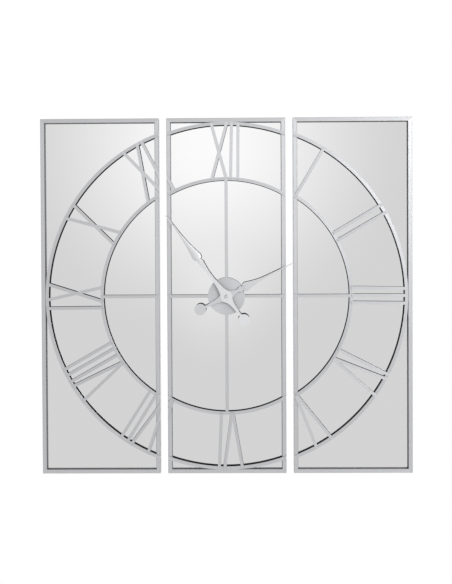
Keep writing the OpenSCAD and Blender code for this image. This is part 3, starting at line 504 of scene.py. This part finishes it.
def domed_hand(name, body, degrees, collar, slope, finish):
    """A copy of a flat CAD hand whose front rises to a ridge between its collar and its tip."""
    turn = math.radians(degrees)
    along = Vector((math.sin(turn), 0, math.cos(turn)))
    across = Vector((math.cos(turn), 0, -math.sin(turn)))
    mesh = bmesh.new()
    mesh.from_mesh(nodes[name].data)
    bmesh.ops.remove_doubles(mesh, verts=mesh.verts, dist=WELD_WITHIN)
    bmesh.ops.dissolve_limit(mesh, angle_limit=FACE_FLAT, verts=mesh.verts, edges=mesh.edges)
    length = max(v.co.dot(along) for v in mesh.verts)
    front = min(v.co.y for v in mesh.verts)
    steps = int((length - collar) / CUT_STEP)
    cuts = [(Vector((0, 0, 0)), across)]
    cuts += [(along * (collar + k * CUT_STEP), along) for k in range(steps)]
    for point, normal in cuts:
        everything = mesh.verts[:] + mesh.edges[:] + mesh.faces[:]
        bmesh.ops.bisect_plane(mesh, geom=everything, dist=WELD_WITHIN, plane_co=point, plane_no=normal)
    one_side = [(v.co.dot(along), v.co.dot(across)) for v in mesh.verts if v.co.dot(across) > ON_LINE]
    ridge = 0.0
    for v in mesh.verts:
        reach = v.co.dot(along)
        on_middle_line = abs(v.co.dot(across)) < ON_LINE and abs(v.co.y - front) < ON_LINE
        if on_middle_line and reach > collar + PAST_COLLAR:
            widths = [width for place, width in one_side if abs(place - reach) < NEAR_CUT]
            half_width = max(widths, default=0.0)
            v.co.y -= slope * half_width
            ridge = max(ridge, slope * half_width)
    bmesh.ops.recalc_face_normals(mesh, faces=mesh.faces)
    for face in mesh.faces:
        face.smooth = True
    for edge in mesh.edges:
        edge.smooth = edge.calc_face_angle(math.pi) < SHARP_EDGE
    print(name, "cut", len(cuts), "times, ridge", round(ridge / MILLIMETRE, 2), "mm")
    return add_piece("domed_" + name, mesh, body, "hand_metal", name, finish)


HAND_SILVER, HAND_ROUGHNESS, CAP_ROUGHNESS = (0.785, 0.79, 0.805), 0.45, 0.25
CAP_EDGE = 0.0003
HOUR_TURN, HOUR_COLLAR, HOUR_SLOPE = 63.6, 0.051, 0.04
MINUTE_TURN, MINUTE_COLLAR, MINUTE_SLOPE = 323.4, 0.133, 0.14
# The cut edges and backs of the hands get painted shade as well.
hour_finish = satin_metal("satin_hour", HAND_SILVER, HAND_ROUGHNESS, turn=HOUR_TURN, dark=SHADED_EDGES_AND_BACK)
minute_finish = satin_metal("satin_minute", HAND_SILVER, HAND_ROUGHNESS, turn=MINUTE_TURN, dark=SHADED_EDGES_AND_BACK)
domed_hand("hour_hand", "hour_works", HOUR_TURN, HOUR_COLLAR, HOUR_SLOPE, hour_finish)
domed_hand("minute_hand", "minute_works", MINUTE_TURN, MINUTE_COLLAR, MINUTE_SLOPE, minute_finish)
dress(satin_metal("satin_cap", HAND_SILVER, CAP_ROUGHNESS, grain="ring"), "cap_nut")
soften(CAP_EDGE, "cap_nut")

# %% [markdown]
# ## Mirrors
# Each mirror is a sheet of float glass with silver and grey paint on its back.
# Clear glass over a silver layer would be truest,
# but every ray would cross it twice and the picture would be noisy.
# One metallic shader does the silver. Sides and back, found by their normals, are green glass and grey paint.

# %% Silver the mirrors
SILVERING, GLASS_EDGE, BACK_PAINT = (0.985, 0.985, 0.985), (0.20, 0.42, 0.33), (0.28, 0.30, 0.30)
HAZE_SCALE, HAZE_DIM, HAZE_ROUGHNESS = 7.0, 0.992, 0.02
PAINT_ROUGHNESS = 0.5
mirror_glass, tree, shader = new_finish("mirror_glass")
normal = facing(tree)
front_face = calculate(tree, "LESS_THAN", normal["Y"], -FRONT_OR_BACK)
back_face = calculate(tree, "GREATER_THAN", normal["Y"], FRONT_OR_BACK)
haze = noise(tree, own_place(tree), HAZE_SCALE, detail=4.0)
painted = mixed(tree, back_face, GLASS_EDGE, BACK_PAINT)
silvered = mixed(tree, haze, [c * HAZE_DIM for c in SILVERING], SILVERING)
put(tree, shader.inputs["Base Color"], mixed(tree, front_face, painted, silvered))
put(tree, shader.inputs["Metallic"], front_face)
polish = spread(tree, haze, 0.0, HAZE_ROUGHNESS)
put(tree, shader.inputs["Roughness"], calculate(tree, "MULTIPLY_ADD", back_face, PAINT_ROUGHNESS, polish))
dress(mirror_glass, *[side + "_mirror" for side in SIDES])
print("mirrors silvered:", len(SIDES))

# %% [markdown]
# ## Boards
# The backs are fibreboard: pressed wood dust, with short darker fibres and a faintly waxy, sanded face.
# Long wood grain would be wrong here,
# so the fibres are a stretched noise, and a finer, even one roughens the face between them.

# %% Press the fibreboard
FIBRE_SCALE, DUST_SCALE, PATCH_SCALE = (900, 900, 260), 2200.0, 9.0
FIBRE_DARK, FIBRE_PALE, PATCH_BROWN = (0.30, 0.205, 0.125), (0.44, 0.32, 0.205), (0.36, 0.25, 0.155)
fibreboard, tree, shader = new_finish("fibreboard", Specular_IOR_Level=0.3)
place = own_place(tree)
stretch = tree.nodes.new("ShaderNodeMapping")
put(tree, stretch.inputs["Vector"], place)
put(tree, stretch.inputs["Scale"], FIBRE_SCALE)
fibres = noise(tree, stretch.outputs[0], scale=1.0, detail=3.0)
dust = noise(tree, place, DUST_SCALE)
patches = noise(tree, place, PATCH_SCALE, detail=3.0)
wood = mixed(tree, spread(tree, fibres, low=0.0, high=1.0, start=0.35, end=0.7), FIBRE_DARK, FIBRE_PALE)
wood = mixed(tree, spread(tree, patches, low=0.0, high=0.35, start=0.4, end=0.7), wood, PATCH_BROWN)
put(tree, shader.inputs["Base Color"], wood)
put(tree, shader.inputs["Roughness"], spread(tree, fibres, low=0.62, high=0.8))
raised(tree, shader, calculate(tree, "ADD", fibres, dust), strength=0.25, distance=0.0002)
dress(fibreboard, *[side + "_board" for side in SIDES])
print("boards pressed:", len(SIDES))

# %% [markdown]
# ## Zinc and screws
# Hanger plates and screws have a thin zinc coat, which is bluish and slightly cloudy.
# The corner keys are plain cast aluminium, which is cloudy too, but duller.
# A cell texture is too crystalline for such metal, and two soft noises are enough.

# %% Plate the hangers and cast the keys
PLATE_ZINC, KEY_ALLOY = (0.66, 0.68, 0.71), (0.55, 0.56, 0.58)
ZINC_DIM, ZINC_SPREAD, ZINC_GRIT = 0.82, 0.1, 4000.0
PLATE_EDGE = 0.0003


def zinc(name, colour, roughness, cloud_scale):
    """Zinc, or a metal that is as cloudy, with a fine grit."""
    material, tree, shader = new_finish(name, Metallic=1.0)
    place = own_place(tree)
    cloud = noise(tree, place, cloud_scale, detail=3.0)
    put(tree, shader.inputs["Base Color"], mixed(tree, cloud, [c * ZINC_DIM for c in colour], colour))
    dullness = spread(tree, cloud, roughness - ZINC_SPREAD, roughness + ZINC_SPREAD)
    put(tree, shader.inputs["Roughness"], dullness)
    raised(tree, shader, noise(tree, place, ZINC_GRIT), strength=0.1, distance=0.0001)
    return material


dress(zinc("plate_zinc", PLATE_ZINC, roughness=0.36, cloud_scale=90.0), "hanger_plates")
dress(zinc("key_alloy", KEY_ALLOY, roughness=0.5, cloud_scale=300.0), "corner_keys")
soften(PLATE_EDGE, "hanger_plates")
print("plates and keys done")

# %% [markdown]
# The CAD screws are plain countersunk solids. Real ones have a cross recess and a thread.
# A recess could be cut with a boolean, but drawing the cross into the head's face gives a cleaner mesh.
# One screw is built point up, as a lathe would turn it, and copied to every place.
# The sizes of its rim and recess are shares of the head's radius, and its point is a share of the shank's.

# %% Turn one screw
ROUND = 20
THREAD_PITCH, THREAD_DEPTH, CUTS_PER_TURN = 0.0012, 0.0004, 4
RIM_SHARE, POINT_SHARE = 0.06, 0.08
MOUTH_SPAN, MOUTH_WIDTH = 0.58, 0.15
PIT_SPAN, PIT_WIDTH, PIT_DEPTH = 0.32, 0.1, 0.5


def circle(mesh, height, radius_at, corners=ROUND):
    """One ring of corners. The radius may change on the way round, which is how a thread climbs."""
    ring = []
    for k in range(corners):
        angle = 2 * math.pi * k / corners
        radius = radius_at(angle)
        ring.append(mesh.verts.new((radius * math.cos(angle), radius * math.sin(angle), height)))
    return ring


def skin(mesh, first, second):
    """Faces between two rings of corners."""
    faces = []
    for k in range(len(first)):
        after = (k + 1) % len(first)
        faces.append(mesh.faces.new((first[k], first[after], second[after], second[k])))
    return faces


def cross_points(half_span, half_width):
    """The twelve corners of a cross."""
    quarter = [(half_span, -half_width), (half_span, half_width), (half_width, half_width)]
    turns = [(1, 0), (0, 1), (-1, 0), (0, -1)]
    return [(x * c - y * s, x * s + y * c) for c, s in turns for x, y in quarter]


def turned_screw(head_radius, shank_radius, length):
    """A countersunk screw with a cross recess, its head flush at zero and its point upwards."""
    mesh = bmesh.new()
    rim = circle(mesh, 0.0, lambda angle: head_radius)
    head_height = head_radius - shank_radius

    def thread(height):
        """The radius of the thread at a height, as a function of the angle round the shank."""
        def radius_at(angle):
            climb = (height / THREAD_PITCH - angle / (2 * math.pi)) % 1
            return shank_radius - THREAD_DEPTH * abs(2 * climb - 1)
        return radius_at

    rows = int((length - head_height - 2 * shank_radius) / THREAD_PITCH * CUTS_PER_TURN)
    heights = [head_height + k * THREAD_PITCH / CUTS_PER_TURN for k in range(rows)]
    rings = [rim]
    rings.append(circle(mesh, head_radius * RIM_SHARE, lambda angle: head_radius))
    rings.append(circle(mesh, head_height, lambda angle: shank_radius))
    rings += [circle(mesh, height, thread(height)) for height in heights[1:]]
    rings.append(circle(mesh, length, lambda angle: shank_radius * POINT_SHARE))
    for first, second in zip(rings, rings[1:]):
        skin(mesh, first, second)
    mesh.faces.new(rings[-1])
    mouth_points = cross_points(head_radius * MOUTH_SPAN, head_radius * MOUTH_WIDTH)
    mouth = [mesh.verts.new((x, y, 0.0)) for x, y in mouth_points]
    pit_points = cross_points(head_radius * PIT_SPAN, head_radius * PIT_WIDTH)
    pit = [mesh.verts.new((x, y, head_radius * PIT_DEPTH)) for x, y in pit_points]
    skin(mesh, mouth, pit)
    mesh.faces.new(pit)
    around = [mesh.edges.get((ring[k - 1], ring[k])) for ring in (rim, mouth) for k in range(len(ring))]
    bmesh.ops.triangle_fill(mesh, use_beauty=True, edges=around)
    bmesh.ops.recalc_face_normals(mesh, faces=mesh.faces)
    return mesh


def drive_screws(name, replaced, screw, places, finish):
    """Copies a screw to each place. A place is a point on the surface and the way the screw goes in."""
    data = bpy.data.meshes.new(name + "_one")
    screw.to_mesh(data)
    screw.free()
    mesh = bmesh.new()
    for point, inwards in places:
        before = len(mesh.verts)
        mesh.from_mesh(data)
        mesh.verts.ensure_lookup_table()
        turn = inwards.to_track_quat("Z", "Y").to_matrix().to_4x4()
        bmesh.ops.transform(mesh, matrix=Matrix.Translation(point) @ turn, verts=mesh.verts[before:])
    bpy.data.meshes.remove(data)
    print(name, "driven:", len(places), "with", len(mesh.faces), "faces")
    return add_piece(name, mesh, "clock", "screw_steel", replaced, finish)


print("a screw has", ROUND, "sides and a thread of", round(THREAD_PITCH / MILLIMETRE, 2), "mm")

# %% Drive the frame and hanger screws
SCREW_ZINC = (0.70, 0.71, 0.72)
FRAME_SCREW_HEAD, FRAME_SCREW_SHANK, FRAME_SCREW_LENGTH = 0.003, 0.0015, 0.018
HANGER_SCREW_HEAD, HANGER_SCREW_LENGTH = 0.0028, 0.015
SCREW_INSET = 0.12
HANGER_ASIDE = 0.12
plate_low, plate_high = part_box("hanger_plates")
screw_zinc = zinc("screw_zinc", SCREW_ZINC, roughness=0.28, cloud_scale=400.0)
frame_places, hanger_places = [], []
for side in SIDES:
    low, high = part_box(side + "_stiles")
    middle, depth = (low.x + high.x) / 2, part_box(side + "_board")[0].y / 2
    for z in (low.z + SCREW_INSET, 0.0, high.z - SCREW_INSET):
        frame_places.append((Vector((low.x, depth, z)), Vector((1, 0, 0))))
        frame_places.append((Vector((high.x, depth, z)), Vector((-1, 0, 0))))
    frame_places.append((Vector((middle, depth, low.z)), Vector((0, 0, 1))))
    frame_places.append((Vector((middle, depth, high.z)), Vector((0, 0, -1))))
    for x in (middle - HANGER_ASIDE, middle + HANGER_ASIDE):
        for z in (plate_low.z + 2 * HANGER_SCREW_HEAD, plate_high.z - 2 * HANGER_SCREW_HEAD):
            hanger_places.append((Vector((x, 0.0, z)), Vector((0, -1, 0))))
frame_screw = turned_screw(FRAME_SCREW_HEAD, FRAME_SCREW_SHANK, FRAME_SCREW_LENGTH)
drive_screws("cross_frame_screws", "frame_screws", frame_screw, frame_places, screw_zinc)
hanger_screw = turned_screw(HANGER_SCREW_HEAD, FRAME_SCREW_SHANK, HANGER_SCREW_LENGTH)
drive_screws("cross_hanger_screws", "hanger_screws", hanger_screw, hanger_places, screw_zinc)

# %% [markdown]
# ## Moulded plastic of the movement
# The case, the cover and the knob of the quartz movement are black plastic,
# from a mould that sparks have etched.
# A plain glossy black would look like lacquer, so a fine noise lifts the surface into an even grit.
# The plate and the wheels are milky acetal.
# That is the same finish in another colour, smoother and with less grit.

# %% Mould the case, the plate and the wheels
CASE_BLACK, PLATE_MILK, WHEEL_MILK = (0.028, 0.028, 0.03), (0.70, 0.69, 0.64), (0.80, 0.78, 0.70)
FLOW_SCALE, FLOW_DIM, FLOW_SPREAD, MOULD_GRIT = 90.0, 0.84, 0.1, 5000.0
CASE_EDGE = 0.0002


def moulded(name, colour, roughness, grit):
    """Moulded plastic with flow marks, an uneven shine and a fine grit."""
    material, tree, shader = new_finish(name)
    place = own_place(tree)
    flow = noise(tree, place, FLOW_SCALE, detail=4.0)
    put(tree, shader.inputs["Base Color"], mixed(tree, flow, [c * FLOW_DIM for c in colour], colour))
    dullness = spread(tree, flow, roughness - FLOW_SPREAD, roughness + FLOW_SPREAD)
    put(tree, shader.inputs["Roughness"], dullness)
    raised(tree, shader, noise(tree, place, MOULD_GRIT), strength=grit, distance=0.0001)
    return material


BLACK_PIECES = ["movement_case", "movement_cover", "setting_knob"]
WHEELS = ["hour_wheel", "minute_wheel", "third_wheel", "fourth_wheel", "intermediate_wheel"]
dress(moulded("black_case", CASE_BLACK, roughness=0.5, grit=0.5), *BLACK_PIECES)
dress(moulded("milky_plate", PLATE_MILK, roughness=0.45, grit=0.15), "movement_plate")
dress(moulded("milky_wheels", WHEEL_MILK, roughness=0.38, grit=0.08), *WHEELS)
soften(CASE_EDGE, *BLACK_PIECES)
print("moulded:", len(BLACK_PIECES), "black pieces, a plate and", len(WHEELS), "wheels")

# %% [markdown]
# ## Turned brass
# Bushing, nut, minute arbor and centre wheel are brass from a lathe, so their tool marks run round the axis.
# They all share the axis of the hands, so the ring grain of the dial fits them too.

# %% Turn the brass
BRASS, NUT_EDGE = (0.78, 0.58, 0.28), 0.0004
TURNED_PIECES = ["threaded_bushing", "minute_arbor", "centre_wheel"]
dress(satin_metal("turned_brass", BRASS, roughness=0.3, grain="ring"), *TURNED_PIECES)
dress(satin_metal("nut_brass", BRASS, roughness=0.26, grain="ring"), "bushing_nut")
soften(NUT_EDGE, "bushing_nut")
print("brass turned:", len(TURNED_PIECES), "pieces and the nut")

# %% [markdown]
# ## The cell
# The cell lies in an open bay at the back, so it shows when the clock is taken off the wall.
# A bare cylinder would look like a peg. A real cell has a rolled jacket, a steel plate at each end and a nub.
# It is turned from one profile, as on a lathe, and each stretch of the profile gets its own finish.
# A row of the profile is a place along the cell, its radius there and the finish up to the next row.

# %% Turn the cell
CELL_ROUND = 48
JACKET, BAND, STEEL, WASHER = range(4)
CELL_PROFILE = (
    (0.0, 4.9, STEEL), (0.3, 5.3, STEEL), (0.3, 6.1, JACKET), (0.0, 6.5, JACKET), (0.4, 7.1, JACKET),
    (33.5, 7.1, BAND), (35.5, 7.1, JACKET), (49.1, 7.1, JACKET), (49.5, 6.7, JACKET), (49.2, 6.2, WASHER),
    (49.0, 3.7, STEEL), (49.4, 3.1, STEEL), (49.6, 2.75, STEEL), (50.2, 2.75, STEEL), (50.5, 2.4, STEEL),
)
JACKET_GREEN, BAND_WHITE = (0.02, 0.16, 0.09), (0.72, 0.72, 0.68)
CELL_STEEL, WASHER_GREY = (0.72, 0.71, 0.69), (0.62, 0.62, 0.58)


def turned_cell(start):
    """A cell along X, from its flat end to its nub."""
    mesh = bmesh.new()
    rings = []
    for place, radius, kind in CELL_PROFILE:
        rings.append(circle(mesh, place * MILLIMETRE, lambda angle: radius * MILLIMETRE, CELL_ROUND))
    for first, second, (place, radius, kind) in zip(rings, rings[1:], CELL_PROFILE):
        for face in skin(mesh, first, second):
            face.material_index = kind
            face.smooth = True
    for end in (rings[0], rings[-1]):
        mesh.faces.new(end).material_index = STEEL
    bmesh.ops.recalc_face_normals(mesh, faces=mesh.faces)
    lie_down = Matrix.Rotation(math.radians(90), 4, "Y")
    bmesh.ops.transform(mesh, matrix=Matrix.Translation(start) @ lie_down, verts=mesh.verts)
    return mesh


cell_low, cell_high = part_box("battery")
cell_start = Vector((cell_low.x, (cell_low.y + cell_high.y) / 2, (cell_low.z + cell_high.z) / 2))
cell_finishes = [
    moulded("jacket_green", JACKET_GREEN, roughness=0.28, grit=0.02),
    moulded("jacket_band", BAND_WHITE, roughness=0.28, grit=0.02),
    zinc("cell_steel", CELL_STEEL, roughness=0.25, cloud_scale=500.0),
    moulded("cell_washer", WASHER_GREY, roughness=0.5, grit=0.1),
]
cell_mesh = turned_cell(cell_start)
cell = add_piece("jacketed_cell", cell_mesh, "clock", "battery_jacket", "battery", *cell_finishes)
print("cell turned with", len(cell.data.polygons), "faces")

# %% [markdown]
# ## Contacts, stator and rotor
# The contact strips are nickelled spring steel and the stator is a soft grey iron, rolled in one direction.
# The rotor is a moulded arbor with a black pressed magnet on it,
# so its finish changes where the magnet begins.
# The magnet is found on the mesh: it is the widest part, and nothing else reaches so far from the arbor.

# %% Finish the iron and the magnet
NICKEL, IRON = (0.74, 0.72, 0.68), (0.42, 0.42, 0.43)
dress(zinc("contact_nickel", NICKEL, roughness=0.25, cloud_scale=500.0), "battery_contacts")
dress(satin_metal("stator_iron", IRON, roughness=0.4), "stator")
MAGNET_BLACK, SPECK_BRIGHT = (0.05, 0.05, 0.052), 1.8
MAGNET_SHARE = 0.95
MAGNET_MARGIN = 0.01 * MILLIMETRE
rotor_low, rotor_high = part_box("rotor")
rotor_axis = (rotor_low + rotor_high) / 2
rim = (rotor_high.x - rotor_low.x) / 2 * MAGNET_SHARE
rotor_corners = [v.co for v in nodes["rotor"].data.vertices]
magnet_y = [c.y for c in rotor_corners if math.hypot(c.x - rotor_axis.x, c.z - rotor_axis.z) > rim]
magnet_middle, magnet_half = (min(magnet_y) + max(magnet_y)) / 2, (max(magnet_y) - min(magnet_y)) / 2
rotor_finish, tree, shader = new_finish("pressed_magnet", Specular_IOR_Level=0.6)
place = own_place(tree)
grit = noise(tree, place, scale=3500.0, detail=3.0)
behind_middle = calculate(tree, "SUBTRACT", parts_of(tree, place)["Y"], magnet_middle)
off_middle = calculate(tree, "ABSOLUTE", behind_middle)
on_magnet = calculate(tree, "LESS_THAN", off_middle, magnet_half + MAGNET_MARGIN)
speckled = mixed(tree, grit, MAGNET_BLACK, [c * SPECK_BRIGHT for c in MAGNET_BLACK])
put(tree, shader.inputs["Base Color"], mixed(tree, on_magnet, WHEEL_MILK, speckled))
put(tree, shader.inputs["Roughness"], spread(tree, grit, low=0.3, high=0.6))
raised(tree, shader, grit, strength=0.2, distance=0.0001)
dress(rotor_finish, "rotor")
print("magnet is", round(2 * magnet_half / MILLIMETRE, 2), "mm long")

# %% [markdown]
# ## The coil
# The coil is hair-thin enamelled copper on a moulded bobbin.
# Thousands of real turns would be far too many faces,
# so a fine wave along the coil raises the layer that shows and darkens the copper in the grooves between
# turns as painted shade, and the two ends of the bobbin are told apart by height.

# %% Wind the coil
WIRE_PITCH = 0.12 * MILLIMETRE
GROOVE_SHADE_COPPER, COPPER_BRIGHT = (0.36, 0.11, 0.035), (0.62, 0.24, 0.09)
BOBBIN_FLANGE, FLANGE_MARGIN = 0.8 * MILLIMETRE, 1.02
coil_low, coil_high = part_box("coil")
coil_middle, coil_half = (coil_low.z + coil_high.z) / 2, (coil_high.z - coil_low.z) / 2
wound_copper, tree, shader = new_finish("wound_copper")
place = own_place(tree)
height = parts_of(tree, place)["Z"]
turns = calculate(tree, "SINE", calculate(tree, "MULTIPLY", height, 2 * math.pi / WIRE_PITCH))
wire = spread(tree, turns, low=0.0, high=1.0, start=-1.0, end=1.0)
from_middle = calculate(tree, "ABSOLUTE", calculate(tree, "SUBTRACT", height, coil_middle))
on_wire = calculate(tree, "LESS_THAN", from_middle, coil_half - BOBBIN_FLANGE * FLANGE_MARGIN)
# The darker copper in the grooves between turns is painted shade.
copper = mixed(tree, wire, GROOVE_SHADE_COPPER, COPPER_BRIGHT)
put(tree, shader.inputs["Base Color"], mixed(tree, on_wire, PLATE_MILK, copper))
put(tree, shader.inputs["Metallic"], on_wire)
put(tree, shader.inputs["Roughness"], spread(tree, noise(tree, place, scale=700.0), low=0.25, high=0.4))
raised(tree, shader, calculate(tree, "MULTIPLY", wire, on_wire), strength=0.8, distance=0.00005)
dress(wound_copper, "coil")
print("coil wound:", round(2 * (coil_half - BOBBIN_FLANGE) / WIRE_PITCH), "turns a layer")

# %% [markdown]
# ## The circuit board
# The board is green lacquer over copper tracks,
# with a black chip and a bright quartz can soldered to its front.
# They are one solid, so the finish tells them apart by place:
# what stands in front of the board is the chip below and the can above.
# The tracks are two sets of stripes, and a coarse check decides which set shows where.

# %% Print the circuit board
LACQUER, TRACK = (0.015, 0.10, 0.05), (0.05, 0.22, 0.10)
CHIP_BLACK, CAN_STEEL = (0.03, 0.03, 0.03), (0.7, 0.7, 0.7)
BOARD_THICK, BOARD_MARGIN = 1.0 * MILLIMETRE, 0.02 * MILLIMETRE
CAN_FIELD = 5 * MILLIMETRE
TRACK_PITCH, TRACK_FIELD, TRACK_SHARE = 1.1 * MILLIMETRE, 4.4 * MILLIMETRE, 0.4
board_low, board_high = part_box("circuit_board")
printed_board, tree, shader = new_finish("printed_board")
place = own_place(tree)
x, y, z = parts_of(tree, place)


def stripes(tree, value):
    """One on a track, nought between two."""
    share = calculate(tree, "FRACT", calculate(tree, "DIVIDE", value, TRACK_PITCH))
    return calculate(tree, "LESS_THAN", share, TRACK_SHARE)


check = tree.nodes.new("ShaderNodeTexChecker")
put(tree, check.inputs["Vector"], place)
put(tree, check.inputs["Scale"], 1 / TRACK_FIELD)
fields = check.outputs["Fac"]
across = calculate(tree, "MULTIPLY", stripes(tree, x), fields)
upwards = calculate(tree, "MULTIPLY", stripes(tree, z), calculate(tree, "SUBTRACT", 1.0, fields))
tracks = calculate(tree, "MAXIMUM", across, upwards)
in_front = calculate(tree, "LESS_THAN", y, board_high.y - BOARD_THICK - BOARD_MARGIN)
is_can = calculate(tree, "GREATER_THAN", z, board_high.z - CAN_FIELD)
fitted = mixed(tree, is_can, CHIP_BLACK, CAN_STEEL)
put(tree, shader.inputs["Base Color"], mixed(tree, in_front, mixed(tree, tracks, LACQUER, TRACK), fitted))
put(tree, shader.inputs["Metallic"], calculate(tree, "MULTIPLY", in_front, is_can))
put(tree, shader.inputs["Roughness"], spread(tree, noise(tree, place, scale=900.0), low=0.25, high=0.4))
raised(tree, shader, tracks, strength=0.4, distance=0.00004)
dress(printed_board, "circuit_board")
print("board", [round(v / MILLIMETRE, 1) for v in board_high - board_low], "mm")
